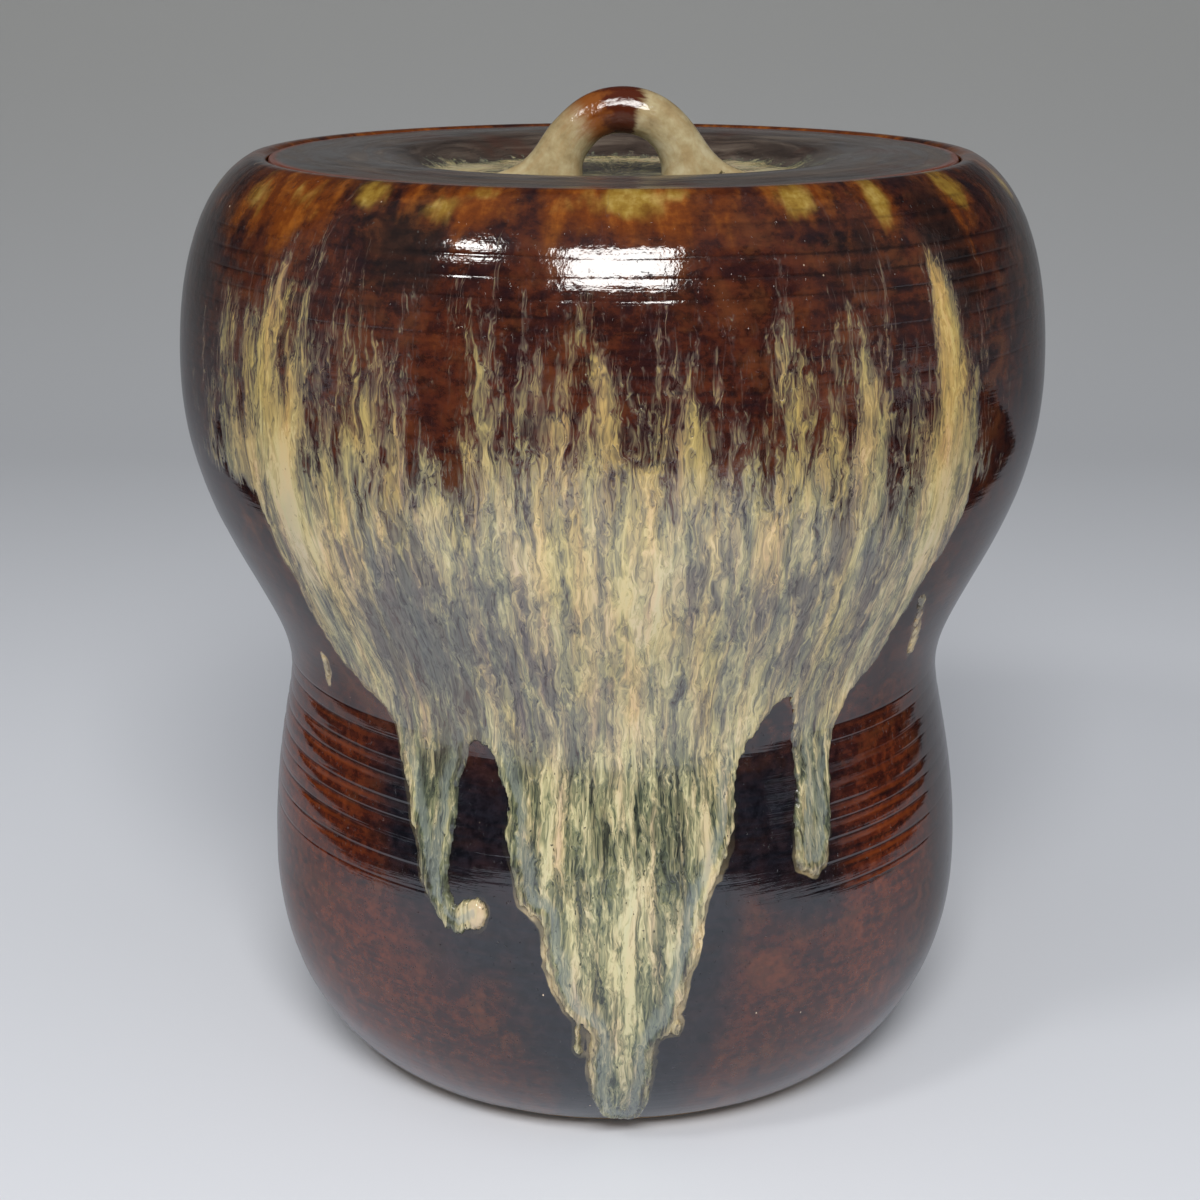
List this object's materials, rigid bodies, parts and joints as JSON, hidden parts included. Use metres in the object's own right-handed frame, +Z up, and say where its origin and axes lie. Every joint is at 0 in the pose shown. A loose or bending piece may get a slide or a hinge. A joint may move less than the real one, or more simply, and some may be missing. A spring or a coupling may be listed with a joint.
{
  "type": "water jar",
  "caption": "Gourd-shaped stoneware water jar with a waist, a flush lid with an arched handle, and poured ash glaze over dark iron glaze.",
  "frame": {"origin": "centre of the flat foot, on the surface the jar stands on", "axes": "+Z up along the jar's axis, -Y towards the front with the poured ash glaze, handle arch lies across along X"},
  "size_m": [0.1656, 0.1661, 0.1897],
  "materials": {
    "stoneware_clay": "bare fired stoneware, buff with fine dark specks",
    "iron_glaze": "glossy dark brown iron glaze, rust and amber where thin",
    "ash_glaze": "glossy straw-coloured ash glaze in fine vertical streaks"
  },
  "bodies": {
    "jar": {"lower_wall": "stoneware_clay", "upper_wall": "stoneware_clay", "lid_seat": "stoneware_clay", "outer_iron_glaze": "iron_glaze", "inner_glaze": "iron_glaze", "ash_glaze_sheet": "ash_glaze", "left_glaze_run": "ash_glaze", "centre_glaze_run": "ash_glaze", "right_glaze_run": "ash_glaze"},
    "lid": {"lid_plate": "stoneware_clay", "lid_flange": "stoneware_clay", "lid_handle": "stoneware_clay", "lid_iron_glaze": "iron_glaze", "lid_ash_pool": "ash_glaze", "handle_ash_glaze": "ash_glaze"}
  },
  "joints": [
    {"name": "lid_lift", "type": "slide", "parent": "jar", "child": "lid", "axis": [0, 0, 1], "range_m": [0, 0.12]}
  ]
}
